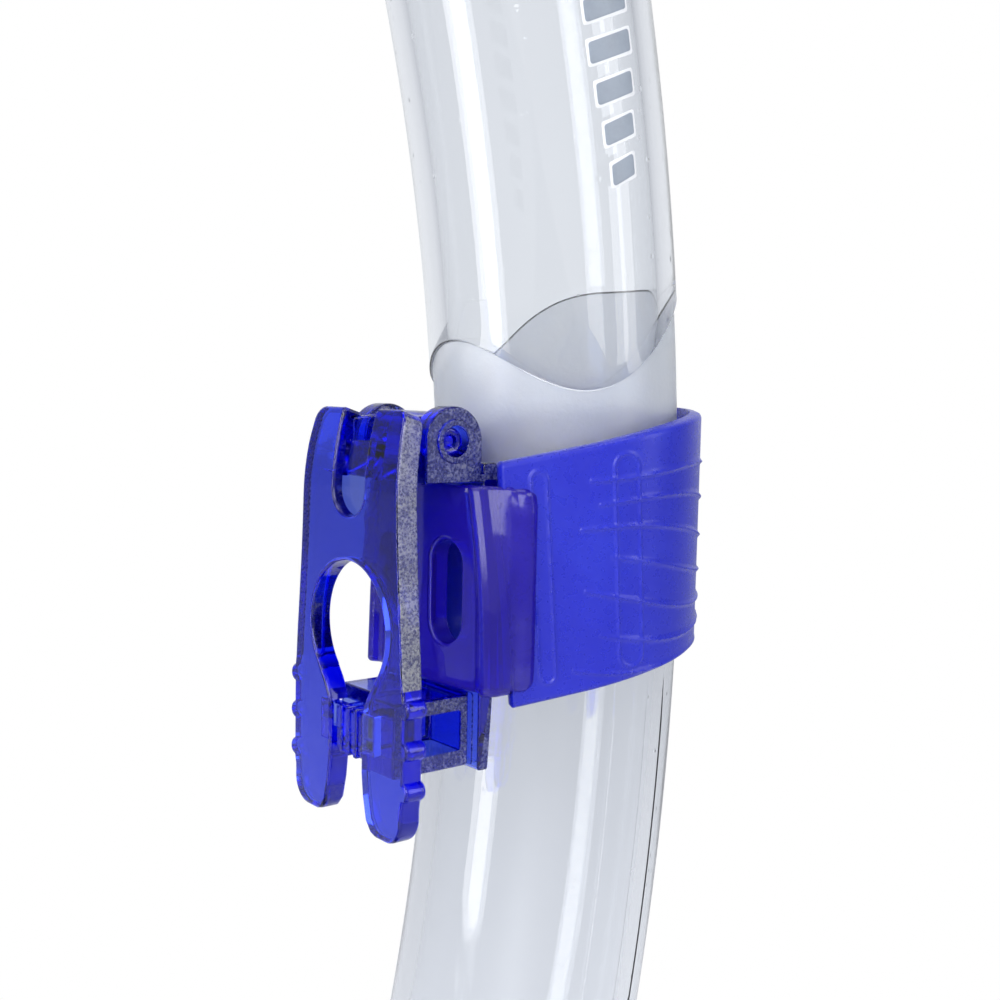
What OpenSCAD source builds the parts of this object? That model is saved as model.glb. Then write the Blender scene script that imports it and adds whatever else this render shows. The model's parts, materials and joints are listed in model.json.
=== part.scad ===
// Contoured snorkel: clear bent tube, soft collar with a hinged strap clip,
// float-valve top, flexible hose, purge chamber and mouthpiece.
// Frame: origin at the centre of the strap gap, +Z up, the tube's axis at
// X = tube_x where it passes the clip, the clip facing -X. Millimetres.

/* [Tube] */
// Outside diameter of the main tube
tube_od = 25; // [24.6:0.1:25]
// Wall thickness of the main tube
tube_wall = 2; // [1.5:0.1:2.5]
// Distance from the strap gap's centre to the tube's axis
tube_x = 20; // [20:0.1:21]
// Radius of the tube's long bend, at its axis
bend_r = 232.7; // [210:0.1:300]
// Angle of the bend above the clip
upper_bend = 32; // [24:1:38]
// Angle of the bend below the clip
lower_bend = 20; // [18:1:24]
// Straight length above the bend
straight_len = 58; // [30:1:90]
// Depth of the frosted seat that the collar grips
seat_depth = 0.3; // [0.2:0.05:0.4]

/* [Collar] */
// Outside radius of the soft band
collar_r = 14.7; // [14.3:0.1:15]
// Height of the band
collar_h = 22.5; // [20:0.5:24]
// Slant of the band's edges, lower towards the clip
collar_tilt = 10.25; // [6:0.25:12]
// Reach of the pocket wall's outer face from the tube's axis
pad_reach = 17; // [16.8:0.1:17.2]
// Thickness of the pocket wall
pad_wall = 2; // [1.8:0.1:2.1]

/* [Clip] */
// Half width of the clip body
clip_half_w = 6.3; // [6:0.1:6.4]
// Thickness of the gate
gate_t = 2.2; // [1.8:0.1:2.4]
// Distance of the gate's front face from the tube's axis
gate_front = 25.2; // [25:0.1:26]
// Radius of the gate's round window
window_r = 6.1; // [5:0.1:6.3]
// Radius of the hinge pin
pin_r = 1.3; // [1.1:0.05:1.4]

/* [Top valve] */
// Radius of the air duct that the valve closes
duct_r = 9.5; // [8.5:0.1:9.8]
// Angle that the valve lever stands open at rest
lever_open = 35; // [28:1:36]
// Wall of the top cage
cage_wall = 1.8; // [1.5:0.1:2]

/* [Hose and mouth end] */
// Radius of the flexible hose's bend
hose_bend_r = 52; // [50:1:70]
// Angle of the flexible hose's bend
hose_bend = 72; // [60:1:80]
// Outside radius of the hose
hose_r = 15.2; // [14.8:0.1:15.5]
// Width of the mouthpiece's lip shield
shield_w = 62; // [56:1:66]

/* [Hidden] */
$fn = 96;

eps = 0.01;
tube_r = tube_od / 2;
bore_r = tube_r - tube_wall;
deg_mm = bend_r * PI / 180;          // length of one degree of the long bend
seat_low = -12.6;                    // ends of the frosted seat, as heights
seat_high = 19;

fit = 0.05;                          // running fit of pins in their bores
gap = 0.3;                           // gap between soft parts and the tube

// Hinge of the gate: distance from the tube's axis, height and lug radius
hinge_n = 17.9;
hinge_z = 13.3;
lug_r = 3.1;
lug_in = 4.1;                        // inner face of each lug
gate_back = gate_front - gate_t;
arm_top = -10.2;                     // lower end of the strap gap
arm_low = -17;

// Top valve, measured up from the gasket
gasket_t = 1.2;
duct_h = 18;
base_floor = 2.5;
cage_top = 38;
cage_r = 18;                         // outline around the duct
chamber_x = 17;                      // centre of the float's end of the outline
chamber_r = 14;
pivot_x = 14.5;
pivot_z = 21;
peg_reach = 8;                       // from the pivot to the lever's peg
peg_r = 1;

// Mouth end, measured along its own axis from the end of the hose
spigot_len = 14;
spigot_r = 12.5;
barrel_end = 44;
nose_end = 48;
purge_at = 28.5;                     // the purge boss's axis along the barrel
purge_reach = 21;
mouth_spigot_end = 58;
shield_at = 71;

function arc(c, r, a0, a1, steps = 8) =
  [for (i = [0 : steps]) let (a = a0 + (a1 - a0) * i / steps) [c.x + r * cos(a), c.y + r * sin(a)]];

// Places things on the tube's bend, with their own Z along its axis.
module on_bend(angle) {
  translate([tube_x - bend_r, 0, 0]) rotate([0, -angle, 0]) translate([bend_r, 0, 0]) children();
}

// Ring section that follows the tube's bend between two angles.
module bend_ring(r_out, r_in, a0, a1) {
  translate([tube_x - bend_r, 0, 0]) rotate([90, 0, 0]) rotate([0, 0, a0])
    rotate_extrude(angle = a1 - a0, $fn = 180) translate([bend_r, 0]) difference() {
      circle(r_out);
      if (r_in > 0) circle(r_in);
    }
}

// Looks at the clip from the tube: X becomes the distance from the tube's axis towards the clip.
module clip_frame() {
  translate([tube_x, 0, 0]) mirror([1, 0, 0]) children();
}

module at_top() {
  on_bend(upper_bend) translate([0, 0, straight_len + gasket_t]) children();
}

module on_hose(angle) {
  on_bend(-lower_bend) translate([-hose_bend_r, 0, 0]) rotate([0, angle, 0])
    translate([hose_bend_r, 0, 0]) children();
}

// End of the hose: children's -Z leads to the mouth and their +X points down.
module at_mouth_end() {
  on_hose(hose_bend) children();
}

// ---- tube ----
module main_tube() {
  root = 2;                          // the straight part starts this far inside the bend
  step = 0.05;                       // and is this much thinner on both faces
  color([0.8, 0.83, 0.87, 0.4]) {
    difference() {
      bend_ring(tube_r, bore_r, -lower_bend, upper_bend);
      bend_ring(tube_r + 1, tube_r - seat_depth, seat_low / deg_mm, seat_high / deg_mm);
    }
    on_bend(upper_bend) translate([0, 0, -root]) difference() {
      cylinder(r = tube_r - step, h = straight_len + root);
      translate([0, 0, -eps]) cylinder(r = bore_r + step, h = straight_len + root + 2 * eps);
    }
  }
}

// ---- soft collar: slanted C band with the clip's pocket wall ----
module keeper_collar() {
  band_open = 9.8;                   // half width of the band's opening
  pad_half_w = 11.5;
  pad_curve = 24;                    // radius of the pocket wall's outer face
  collar_bore = tube_r - seat_depth + gap;
  color([0.19, 0.22, 0.78, 0.8]) difference() {
    union() {
      clip_frame() difference() {
        intersection() {
          cylinder(r = collar_r, h = 50, center = true);
          translate([0, 0, 2.35]) rotate([0, collar_tilt, 0]) cube([50, 50, collar_h], center = true);
        }
        translate([5, -band_open, -25]) cube([20, 2 * band_open, 50]);
      }
      clip_frame() intersection() {
        translate([pad_reach - pad_curve, 0, -9.6]) cylinder(r = pad_curve, h = 18.9);
        translate([9, -pad_half_w, -10]) cube([10, 2 * pad_half_w, 20]);
      }
    }
    bend_ring(collar_bore, 0, -8, 8);
    clip_frame() translate([10, -clip_half_w - gap, -20]) cube([pad_reach - pad_wall - 10, 2 * (clip_half_w + gap), 40]);
    for (side = [-1, 1]) clip_frame() translate([13, side * 3.65, 0]) rotate([0, 90, 0]) {
      for (end = [-2, 3.4]) translate([end, 0, 0]) cylinder(r = 2.2, h = 8);
      translate([-2, -2.2, 0]) cube([5.4, 4.4, 8]);
    }
  }
}

// ---- hard clip body: back plate, hinge lugs, lower arm and snap head ----
module clip_body() {
  plate_in = 12.8;
  plate_out = 14.6;
  color([0.1, 0.12, 0.62, 0.85]) difference() {
    clip_frame() difference() {
      union() {
        translate([plate_in, -clip_half_w, -17.5])
          cube([plate_out - plate_in, 2 * clip_half_w, 28.9]);
        // shelf that closes the strap gap and carries the lugs
        translate([plate_in, -clip_half_w, 9.6])
          cube([hinge_n + lug_r - plate_in, 2 * clip_half_w, 0.8]);
        for (side = [-1, 1]) translate([0, side * (lug_in + clip_half_w) / 2, 0]) {
          lug_w = clip_half_w - lug_in;
          translate([hinge_n, lug_w / 2, hinge_z]) rotate([90, 0, 0]) cylinder(r = lug_r, h = lug_w);
          translate([hinge_n - lug_r, -lug_w / 2, 9.6]) cube([2 * lug_r, lug_w, hinge_z - 9.6]);
        }
        // lower arm, its neck and the two wings of the snap head
        translate([plate_in, -5.4, arm_low]) cube([22.3 - plate_in, 10.8, arm_top - arm_low]);
        translate([22, -2.2, -15.5]) cube([2.8, 4.4, 4]);
        translate([23.3, -4.2, -13.8]) cube([1, 8.4, 2.3]);
      }
      // cored pockets in the sides of the arm
      for (side = [-1, 1]) translate([15.9, side * 3.2 - 2.4, -15.4]) cube([5.6, 4.8, 3.8]);
      translate([hinge_n, 10, hinge_z]) rotate([90, 0, 0]) cylinder(r = pin_r + 0.02, h = 20);
    }
    // the plate's back keeps clear of the bent tube
    bend_ring(tube_r + 0.15, 0, -6, 4);
  }
}

module clip_hinge_pin() {
  color([0.08, 0.1, 0.5]) clip_frame() translate([hinge_n, 5.7, hinge_z]) rotate([90, 0, 0])
    cylinder(r = pin_r, h = 11.4);
}

// ---- hinged gate with a round window, two legs and side grips ----
module gate_outline() {
  top_z = 16.2;
  half = concat(
    arc([6.6, -19.6], 2.4, -90, 0),
    [[9.1, -8], [8.85, -5], [8.6, -2], [8.25, 2.4], [7.95, 8], [7.7, 12.8]],
    arc([5.95, 14.7], 1.5, 10, 90),
    [[0, top_z]]
  );
  legs = [[0, -8], [4.6, -7.8], [2.6, -11.3], [2.6, -17], [3.4, -20.8]];
  difference() {
    for (side = [0, 1]) mirror([side, 0]) polygon(concat(half, [[0, -12], [0, -22]]));
    translate([0, -3.8]) circle(window_r);
    for (side = [0, 1]) mirror([side, 0]) polygon(concat(legs, [[4.6, -22.2], [-1, -22.2], [-1, -8]]));
    translate([0, 8.9]) circle(2.5);
    translate([-2.5, 8.9]) square([5, 10]);
  }
}

module clip_gate() {
  bend_from = 8;                     // height where the gate starts to curve back
  curl = 27;                         // radius of that curve
  sweep = 20;                        // angle of that curve
  front = concat(
    [[gate_front, -25]],
    arc([gate_front - curl, bend_from], curl, 0, sweep)
  );
  back = [for (i = [8 : -1 : 0]) let (a = sweep * i / 8)
    [gate_front - curl + (curl - gate_t) * cos(a), bend_from + (curl - gate_t) * sin(a)]];
  color([0.12, 0.2, 0.8, 0.8]) clip_frame() difference() {
    union() {
      intersection() {
        translate([0, 15, 0]) rotate([90, 0, 0]) linear_extrude(30)
          polygon(concat(front, back, [[gate_back, bend_from], [gate_back, -25]]));
        rotate([90, 0, 90]) linear_extrude(40) gate_outline();
      }
      translate([hinge_n, 3.9, hinge_z]) rotate([90, 0, 0]) cylinder(r = 2.6, h = 7.8);
      for (side = [-1, 1]) translate([hinge_n, side * 3.2 - 0.7, hinge_z - 1.8]) cube([4.8, 1.4, 3.9]);
      // thin floor that closes the slot's lower part
      translate([gate_back, -3, 6]) cube([0.7, 6, 6.2]);
      for (side = [-1, 1], i = [0 : 2])
        translate([gate_back, side * 9.1, -9.64 - 3.63 * i]) rotate([0, 90, 0]) cylinder(r = 0.85, h = gate_t);
    }
    translate([hinge_n, 10, hinge_z]) rotate([90, 0, 0]) cylinder(r = pin_r + fit, h = 20);
    // room for the lugs, which the gate turns past
    for (side = [-1, 1]) translate([hinge_n, side * 7 + 3, hinge_z]) rotate([90, 0, 0])
      cylinder(r = lug_r + 0.25, h = 6);
    // room for the snap head's wings, open towards the strap
    translate([gate_back - 1, -4.5, -14.9]) cube([2.8, 9, 3.8]);
  }
}

// ---- top: gasket, base with duct, cage, cap ----
module cage_outline(inset = 0) {
  hull() {
    circle(cage_r - inset);
    translate([chamber_x, 0]) circle(chamber_r - inset);
  }
}

module top_gasket() {
  color([0.15, 0.17, 0.2]) at_top() translate([0, 0, -gasket_t]) difference() {
    cylinder(r = tube_r, h = gasket_t);
    translate([0, 0, -eps]) cylinder(r = bore_r, h = gasket_t + 2 * eps);
  }
}

module top_base() {
  post_w = 2;
  color([0.12, 0.2, 0.8]) at_top() difference() {
    union() {
      translate([0, 0, -15]) cylinder(r = 15, h = 15);
      linear_extrude(base_floor) cage_outline();
      cylinder(r = duct_r + 1.8, h = duct_h);
      for (side = [-1, 1]) translate([12.3, side * 6.4 - post_w / 2, 0]) cube([4.4, post_w, pivot_z + 2.2]);
    }
    translate([0, 0, -20]) cylinder(r = tube_r + fit, h = 20);
    cylinder(r = duct_r, h = 60, center = true);
    translate([pivot_x, 10, pivot_z]) rotate([90, 0, 0]) cylinder(r = 1.02, h = 20);
  }
}

module top_cage() {
  color([0.12, 0.2, 0.8]) at_top() difference() {
    translate([0, 0, base_floor]) linear_extrude(cage_top - base_floor) difference() {
      cage_outline();
      cage_outline(cage_wall);
    }
    for (a = [100 : 20 : 260]) rotate([0, 0, a]) translate([10, -1.6, 8]) cube([20, 3.2, 22]);
    translate([chamber_x, 0, 0]) for (a = [-60 : 24 : 60]) rotate([0, 0, a])
      translate([8, -1.4, 8]) cube([20, 2.8, 14]);
  }
}

module top_cap() {
  color([0.1, 0.14, 0.6]) at_top() {
    translate([0, 0, cage_top]) linear_extrude(2) cage_outline();
    translate([0, 0, cage_top + 2]) linear_extrude(1.5) cage_outline(3);
    translate([0, 0, cage_top - 2.5]) linear_extrude(2.5 + eps) difference() {
      cage_outline(cage_wall + 0.1);
      cage_outline(cage_wall + 1.4);
    }
  }
}

// ---- float valve ----
module valve_float() {
  float_low = 2.8;
  float_high = 14.5;
  peg_x = pivot_x + peg_reach * cos(lever_open / 2);
  peg_z = pivot_z - peg_reach * sin(lever_open / 2);
  color([0.95, 0.55, 0.15]) at_top() difference() {
    union() {
      intersection() {
        translate([chamber_x, 0, float_low]) cylinder(r = 11.3, h = float_high - float_low);
        translate([17.2, -20, 0]) cube([20, 40, 20]);
      }
      translate([19.4, -1.2, float_high - eps]) cube([5.8, 2.4, peg_z + 2.4 - float_high]);
    }
    // slot for the lever's peg
    translate([peg_x - 0.5, 0, peg_z]) rotate([90, 0, 0]) {
      for (end = [0, 1.4]) translate([end, 0, -3]) cylinder(r = peg_r + fit, h = 6);
      translate([0, -peg_r - fit, -3]) cube([1.4, 2 * (peg_r + fit), 6]);
    }
  }
}

// Everything on the lever is drawn closed and then swung open about its pin.
module lever_frame() {
  at_top() translate([pivot_x, 0, pivot_z]) rotate([0, lever_open, 0]) children();
}

module valve_lever() {
  color([0.85, 0.87, 0.9]) lever_frame() difference() {
    union() {
      translate([-pivot_x, 0, -1]) cylinder(r = 11.2, h = 1.5);
      translate([-7, -5, -1]) cube([7, 10, 1.5]);
      translate([0, 5, 0]) rotate([90, 0, 0]) cylinder(r = 2.2, h = 10);
      rotate([0, -lever_open / 2, 0]) for (side = [-1, 1]) translate([0, side * 2.35 - 0.85, -1.1])
        cube([peg_reach + 1, 1.7, 2.2]);
      rotate([0, -lever_open / 2, 0]) translate([peg_reach, 3.2, 0]) rotate([90, 0, 0])
        cylinder(r = peg_r, h = 6.4);
    }
    translate([0, 10, 0]) rotate([90, 0, 0]) cylinder(r = 1 + fit, h = 20);
  }
}

module valve_seal() {
  color([0.12, 0.13, 0.15]) lever_frame() translate([-pivot_x, 0, -2.85]) cylinder(r = 10.9, h = 1.85);
}

module valve_pin() {
  color([0.75, 0.76, 0.78]) at_top() translate([pivot_x, 7.3, pivot_z]) rotate([90, 0, 0])
    cylinder(r = 1, h = 14.6);
}

// ---- flexible hose and its rings ----
module flex_hose() {
  cuff_r = 14.8;
  cuff_len = 13.8;
  cuff_deg = cuff_len / deg_mm;
  lap = 0.4;                         // how far each cuff runs into the bent part
  color([0.14, 0.16, 0.5]) {
    bend_ring(cuff_r, tube_r + fit, -lower_bend - lap / deg_mm, -lower_bend + cuff_deg);
    on_bend(-lower_bend) translate([-hose_bend_r, 0, 0]) rotate([-90, 0, 0])
      rotate_extrude(angle = hose_bend, $fn = 120) translate([hose_bend_r, 0]) difference() {
        circle(hose_r);
        circle(10.8);
      }
    at_mouth_end() translate([0, 0, -cuff_len]) difference() {
      cylinder(r = cuff_r, h = cuff_len + lap);
      translate([0, 0, -eps]) cylinder(r = spigot_r + fit, h = cuff_len + lap + 2 * eps);
    }
  }
}

module hose_ring_upper() {
  color([0.1, 0.14, 0.6]) bend_ring(16.4, 14.85, -lower_bend + 1.2, -lower_bend + 2.4);
}

module hose_ring_lower() {
  color([0.1, 0.14, 0.6]) at_mouth_end() translate([0, 0, -9.5]) difference() {
    cylinder(r = 16.4, h = 5);
    translate([0, 0, -eps]) cylinder(r = 14.85, h = 5 + 2 * eps);
  }
}

// ---- purge chamber and its valve ----
module purge_axis() {
  at_mouth_end() translate([0, 0, -purge_at]) rotate([0, 90, 0]) children();
}

module purge_chamber() {
  color([0.8, 0.83, 0.87, 0.5]) difference() {
    union() {
      at_mouth_end() {
        translate([0, 0, -spigot_len]) cylinder(r = spigot_r, h = spigot_len);
        translate([0, 0, -barrel_end]) cylinder(r = 15.2, h = barrel_end - spigot_len);
        translate([0, 0, -nose_end]) cylinder(r1 = 11.4, r2 = 15.2, h = nose_end - barrel_end);
        translate([0, 0, -mouth_spigot_end]) cylinder(r = 10.4, h = mouth_spigot_end - nose_end);
      }
      purge_axis() cylinder(r = 14.5, h = purge_reach);
    }
    at_mouth_end() {
      translate([0, 0, -spigot_len - eps]) cylinder(r = 10.9, h = 20);
      translate([0, 0, -barrel_end + 1]) cylinder(r = 13, h = barrel_end - spigot_len - 3);
      translate([0, 0, -60]) cylinder(r = 8.4, h = 60);
    }
    purge_axis() {
      cylinder(r = 11, h = purge_reach + 1);
      translate([0, 0, 17]) cylinder(r = 12.6, h = 10);
    }
  }
}

module purge_seat() {
  color([0.1, 0.14, 0.6]) purge_axis() translate([0, 0, 17]) difference() {
    cylinder(r = 12.5, h = 2);
    difference() {
      translate([0, 0, -1]) cylinder(r = 10, h = 4);
      translate([0, 0, -1]) cylinder(r = 3.2, h = 4);
      for (a = [0, 90]) rotate([0, 0, a]) translate([-15, -0.9, -2]) cube([30, 1.8, 6]);
    }
    translate([0, 0, -1]) cylinder(r = 1.6, h = 4);
  }
}

module purge_membrane() {
  color([0.85, 0.87, 0.9]) purge_axis() {
    translate([0, 0, 19.05]) cylinder(r = 11.6, h = 0.8);
    translate([0, 0, 15]) cylinder(r = 1.5, h = 4.1);
    translate([0, 0, 15]) cylinder(r = 2.3, h = 1.8);
  }
}

module purge_cover() {
  color([0.12, 0.2, 0.8]) purge_axis() difference() {
    translate([0, 0, 15.5]) cylinder(r = 16.3, h = 9.5);
    translate([0, 0, 12]) cylinder(r = 14.6, h = 11.2);
    for (a = [0 : 45 : 315]) rotate([0, 0, a]) translate([5.5, -1.5, 20]) cube([6.5, 3, 10]);
  }
}

// ---- mouthpiece: neck, lip shield, air passage and bite tabs ----
module mouthpiece() {
  shield_h = 33;
  color([0.16, 0.18, 0.45]) at_mouth_end() difference() {
    union() {
      translate([0, 0, -60]) cylinder(r = 13.2, h = 11.6);
      hull() {
        translate([0, 0, -60]) cylinder(r = 12.6, h = 1);
        for (side = [-1, 1]) translate([0, side * 7, -shield_at]) cylinder(r = 9.5, h = 1);
      }
      translate([0, 0, -shield_at - 2]) linear_extrude(2.4) hull() for (side = [-1, 1])
        translate([0, side * (shield_w - shield_h) / 2]) circle(shield_h / 2);
      hull() for (side = [-1, 1]) translate([0, side * 7, -shield_at - 9]) cylinder(r = 8.4, h = 9);
      for (side = [-1, 1]) translate([-4, side * 17 - 4, -shield_at - 20]) {
        cube([8, 8, 19]);
        translate([-3.5, 0, 0]) cube([15, 8, 2.4]);
      }
    }
    translate([0, 0, -mouth_spigot_end - 0.5]) cylinder(r = 10.45, h = 20);
    translate([0, 0, -65]) cylinder(r = 8.2, h = 20);
    hull() {
      translate([0, 0, -63]) cylinder(r = 8.2, h = 1);
      for (side = [-1, 1]) translate([0, side * 6.4, -shield_at]) cylinder(r = 6, h = 1);
    }
    hull() for (side = [-1, 1]) translate([0, side * 6.4, -shield_at - 10]) cylinder(r = 6, h = 11);
  }
}

module mouthpiece_tie() {
  color([0.1, 0.11, 0.13]) at_mouth_end() {
    translate([0, 0, -57]) difference() {
      cylinder(r = 14.5, h = 4.6);
      translate([0, 0, -eps]) cylinder(r = 13.25, h = 5);
    }
    translate([-17, -3, -57.4]) cube([3, 6, 5.4]);
  }
}

main_tube();
keeper_collar();
clip_body();
clip_hinge_pin();
clip_gate();
top_gasket();
top_base();
top_cage();
top_cap();
valve_float();
valve_lever();
valve_seal();
valve_pin();
flex_hose();
hose_ring_upper();
hose_ring_lower();
purge_chamber();
purge_seat();
purge_membrane();
purge_cover();
mouthpiece();
mouthpiece_tie();
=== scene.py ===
# Clear snorkel with a soft collar and hinged strap clip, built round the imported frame.
# Lengths are millimetres in the frame's own axes until finish_piece() turns them into metres.
import json
import math

import bmesh
import bpy
import numpy as np
from mathutils import Matrix, Vector

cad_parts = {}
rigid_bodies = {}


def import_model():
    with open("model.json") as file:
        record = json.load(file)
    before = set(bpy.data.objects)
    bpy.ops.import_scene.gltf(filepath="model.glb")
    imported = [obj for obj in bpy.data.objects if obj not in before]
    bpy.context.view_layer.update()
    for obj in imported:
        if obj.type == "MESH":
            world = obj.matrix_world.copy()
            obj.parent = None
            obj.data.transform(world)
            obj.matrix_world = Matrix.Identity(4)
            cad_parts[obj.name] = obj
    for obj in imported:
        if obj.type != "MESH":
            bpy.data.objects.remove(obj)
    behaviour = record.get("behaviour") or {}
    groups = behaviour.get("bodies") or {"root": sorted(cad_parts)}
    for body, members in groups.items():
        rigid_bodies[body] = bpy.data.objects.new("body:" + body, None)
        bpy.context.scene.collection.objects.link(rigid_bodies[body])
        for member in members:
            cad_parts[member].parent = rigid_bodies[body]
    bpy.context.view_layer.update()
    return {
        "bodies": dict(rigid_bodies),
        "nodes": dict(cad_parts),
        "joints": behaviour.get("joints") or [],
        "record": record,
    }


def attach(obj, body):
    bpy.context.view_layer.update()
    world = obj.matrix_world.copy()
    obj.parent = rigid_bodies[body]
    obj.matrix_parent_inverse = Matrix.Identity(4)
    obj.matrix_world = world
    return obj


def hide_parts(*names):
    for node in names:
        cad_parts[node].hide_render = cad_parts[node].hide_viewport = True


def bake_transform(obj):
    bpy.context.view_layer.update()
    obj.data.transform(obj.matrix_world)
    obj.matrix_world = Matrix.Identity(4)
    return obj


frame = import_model()

R = 232.7            # radius of the tube's long bend
TX = 20.0            # distance from the strap gap to the tube's axis
OUT_R, IN_R = 12.5, 10.5                # the tube's wall
SEAT_R = 12.2                           # its frosted seat
BAND_R = 14.7                           # the soft band's outer face
TRIES = 8                               # attempts at one boolean
DEG = R * math.pi / 180


# ---------------------------------------------------------------- frames
def turn(deg, axis):
    return Matrix.Rotation(math.radians(deg), 4, axis)


def move(x, y, z):
    return Matrix.Translation((x, y, z))


def on_bend(a):
    return move(TX - R, 0, 0) @ turn(-a, "Y") @ move(R, 0, 0)


def on_hose(a):
    return on_bend(-20) @ move(-52, 0, 0) @ turn(a, "Y") @ move(52, 0, 0)


TOP = on_bend(32) @ move(0, 0, 59.2)
MOUTH = on_hose(72)
PURGE = MOUTH @ move(0, 0, -28.5) @ turn(90, "Y")
CLIP = move(TX, 0, 0) @ Matrix.Scale(-1, 4, (1, 0, 0))          # (n, y, z), n towards the clip
# a plate drawn in x, y: FACE puts x across the clip, y up and its thickness along n
FACE = CLIP @ Matrix(((0, 0, 1, 0), (1, 0, 0, 0), (0, 1, 0, 0), (0, 0, 0, 1)))
# SIDE puts x along n, y up and its thickness across the clip
SIDE = CLIP @ Matrix(((1, 0, 0, 0), (0, 0, 1, 0), (0, 1, 0, 0), (0, 0, 0, 1)))
HINGE = (17.9, 13.3)                    # the gate's pin in SIDE's x and y
PIN = CLIP @ move(17.9, 0, 13.3) @ turn(90, "X")


# ---------------------------------------------------------------- 2-D shapes
def arc(cx, cy, r, a0, a1, steps=8):
    return [(cx + r * math.cos(math.radians(a0 + (a1 - a0) * i / steps)),
             cy + r * math.sin(math.radians(a0 + (a1 - a0) * i / steps))) for i in range(steps + 1)]


def circle(cx, cy, r, steps=48):
    return arc(cx, cy, r, 0, 360, steps)[:-1]


def rounded(points, radius, steps=4, closed=True):
    """Fillets the corners of a polygon; radius is one number or one per corner."""
    out, n = [], len(points)
    for i, p in enumerate(points):
        r = radius[i] if hasattr(radius, "__len__") else radius
        if r <= 0 or (not closed and i in (0, n - 1)):
            out.append(tuple(p))
            continue
        p = Vector(p)
        a, b = Vector(points[i - 1]) - p, Vector(points[(i + 1) % n]) - p
        la, lb = a.length, b.length
        a, b = a / la, b / lb
        c = max(-1, min(1, a.dot(b)))
        half = math.acos(c) / 2
        if half > math.radians(86):
            out.append(tuple(p))
            continue
        t = min(r / math.tan(half), la * 0.48, lb * 0.48)
        s, e = p + a * t, p + b * t
        for k in range(steps + 1):
            u = k / steps
            out.append(tuple(s * (1 - u) ** 2 + p * 2 * u * (1 - u) + e * u * u))
    return out


def pill(cx, y0, y1, r, steps=12):
    return arc(cx, y1, r, 0, 180, steps) + arc(cx, y0, r, 180, 360, steps)


# ---------------------------------------------------------------- meshes
def link(name, data):
    ob = bpy.data.objects.new(name, data)
    bpy.context.scene.collection.objects.link(ob)
    return ob


def strip(i, j, seg):
    """Quads between rings i and j of seg points each."""
    return [(i * seg + k, i * seg + (k + 1) % seg, j * seg + (k + 1) % seg, j * seg + k) for k in range(seg)]


def clean(mesh, frame=None, weld=1e-4):
    if frame is not None:
        mesh.transform(frame)
    bm = bmesh.new()
    bm.from_mesh(mesh)
    bmesh.ops.remove_doubles(bm, verts=bm.verts, dist=weld)
    bmesh.ops.dissolve_degenerate(bm, edges=bm.edges, dist=weld)
    bmesh.ops.recalc_face_normals(bm, faces=bm.faces)
    bm.to_mesh(mesh)
    bm.free()
    return mesh


def solid(name, verts, faces, frame=None):
    me = bpy.data.meshes.new(name)
    me.from_pydata([tuple(v) for v in verts], [], faces)
    return link(name, clean(me, frame))


def baked(ob):
    """The object's mesh with its modifiers applied."""
    bpy.context.view_layer.update()
    me = bpy.data.meshes.new_from_object(ob.evaluated_get(bpy.context.evaluated_depsgraph_get()))
    ob.modifiers.clear()
    return me


def plate(name, loops, thick, bevel=0.3, frame=None, steps=2, at=0.0):
    """Flat shape with rounded edges: closed loops in x, y, thickness along z centred on at."""
    cu = bpy.data.curves.new(name, "CURVE")
    cu.dimensions, cu.fill_mode = "2D", "BOTH"
    cu.extrude, cu.bevel_depth, cu.offset = thick / 2 - bevel, bevel, -bevel
    cu.bevel_resolution = steps
    for loop in loops:
        sp = cu.splines.new("POLY")
        sp.points.add(len(loop) - 1)
        for q, p in zip(sp.points, loop):
            q.co = (p[0], p[1], 0, 1)
        sp.use_cyclic_u = True
    ob = link(name + "_outline", cu)
    me = baked(ob)
    bpy.data.objects.remove(ob)
    me.name = name
    return link(name, clean(me, (frame or Matrix.Identity(4)) @ move(0, 0, at), weld=1e-3))


def block(name, lo, hi, bevel=0.3, frame=None, steps=2):
    w, d = (hi[0] - lo[0]) / 2, (hi[1] - lo[1]) / 2
    cx, cy = (hi[0] + lo[0]) / 2, (hi[1] + lo[1]) / 2
    loop = rounded([(cx - w, cy - d), (cx + w, cy - d), (cx + w, cy + d), (cx - w, cy + d)], bevel, 3)
    return plate(name, [loop], hi[2] - lo[2], bevel * 0.9, frame, steps, (lo[2] + hi[2]) / 2)


def lathe(name, profile, frame=None, seg=96, closed=True, shape=None):
    """Turns a profile of (r, z) about z; shape(angle, r, z) may change the radius."""
    n, verts, faces = len(profile), [], []
    for r, z in profile:
        for k in range(seg):
            a = 2 * math.pi * k / seg
            q = shape(a, r, z) if shape else r
            verts.append((q * math.cos(a), q * math.sin(a), z))
    for i in range(n if closed else n - 1):
        j = (i + 1) % n
        if profile[i][0] >= 1e-6 or profile[j][0] >= 1e-6:
            faces += strip(i, j, seg)
    return solid(name, verts, faces, frame)


def loft(name, rings, frame=None, closed=True):
    """Joins rings of the same number of points; a closed loft's last ring meets its first."""
    seg, n = len(rings[0]), len(rings)
    verts = [p for ring in rings for p in ring]
    faces = []
    for i in range(n if closed else n - 1):
        j = (i + 1) % n
        for k in range(seg):
            m = (k + 1) % seg
            faces.append((i * seg + k, i * seg + m, j * seg + m, j * seg + k))
    if not closed:
        faces += [tuple(range(seg)), tuple((n - 1) * seg + k for k in range(seg))]
    return solid(name, verts, faces, frame)


def volume(mesh):
    bm = bmesh.new()
    bm.from_mesh(mesh)
    v = bm.calc_volume(signed=True)
    bm.free()
    return v


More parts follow.
